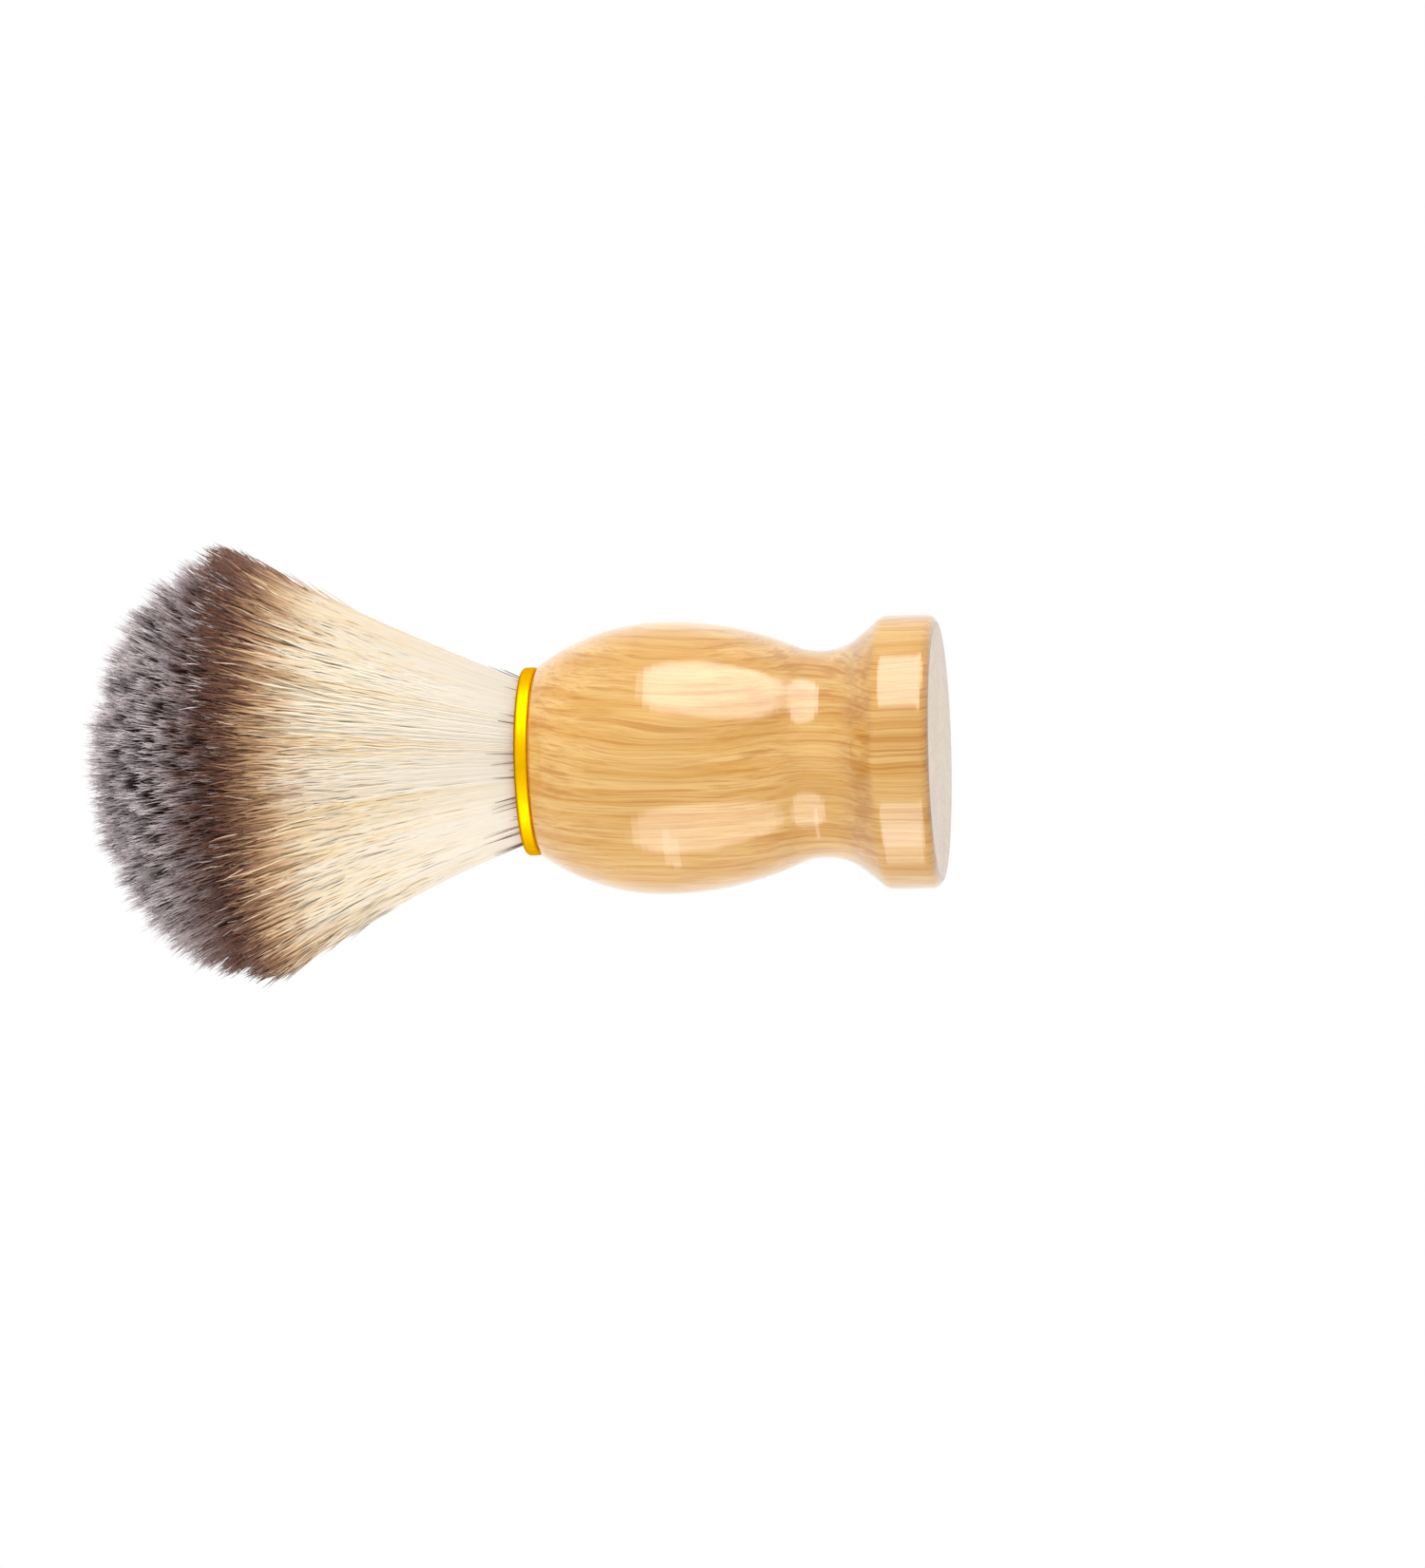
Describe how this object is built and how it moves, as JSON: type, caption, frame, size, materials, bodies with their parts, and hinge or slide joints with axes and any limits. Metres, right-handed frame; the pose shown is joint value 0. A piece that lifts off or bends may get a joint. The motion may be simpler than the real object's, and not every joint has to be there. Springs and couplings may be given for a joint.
{
  "type": "shaving brush",
  "caption": "Shaving brush with a turned, lacquered wooden handle, a narrow gold-coloured collar and a bulb of soft fibres glued into the handle.",
  "frame": {"origin": "centre of the flat foot of the handle, on the surface the brush stands on", "axes": "+Z along the axis from the foot to the fibre tips; the brush is turned, so X and Y are alike"},
  "size_m": [0.056, 0.056, 0.11],
  "materials": {
    "lacquered_wood": "gloss",
    "gold_metal": "gloss",
    "glue": "satin",
    "resin": "gloss",
    "thread": "matte",
    "fibre": "satin",
    "fibre_tips": "satin"
  },
  "bodies": {
    "handle": {"handle": "lacquered_wood", "ferrule": "gold_metal", "socket_adhesive": "glue", "resin_plug": "resin", "binding_thread": "thread", "knot_root": "fibre"},
    "knot_lower": {"knot_lower": "fibre"},
    "knot_upper": {"knot_upper": "fibre_tips"}
  },
  "joints": [
    {"name": "knot_bend_x", "type": "hinge", "parent": "handle", "child": "knot_lower", "pos_m": [0, 0, 0.05305], "axis": [1, 0, 0], "range_deg": [-25, 25], "stiffness_Nm_per_rad": 0.12},
    {"name": "knot_bend_y", "type": "hinge", "parent": "knot_lower", "child": "knot_upper", "pos_m": [0, 0, 0.06205], "axis": [0, 1, 0], "range_deg": [-25, 25], "stiffness_Nm_per_rad": 0.12}
  ]
}
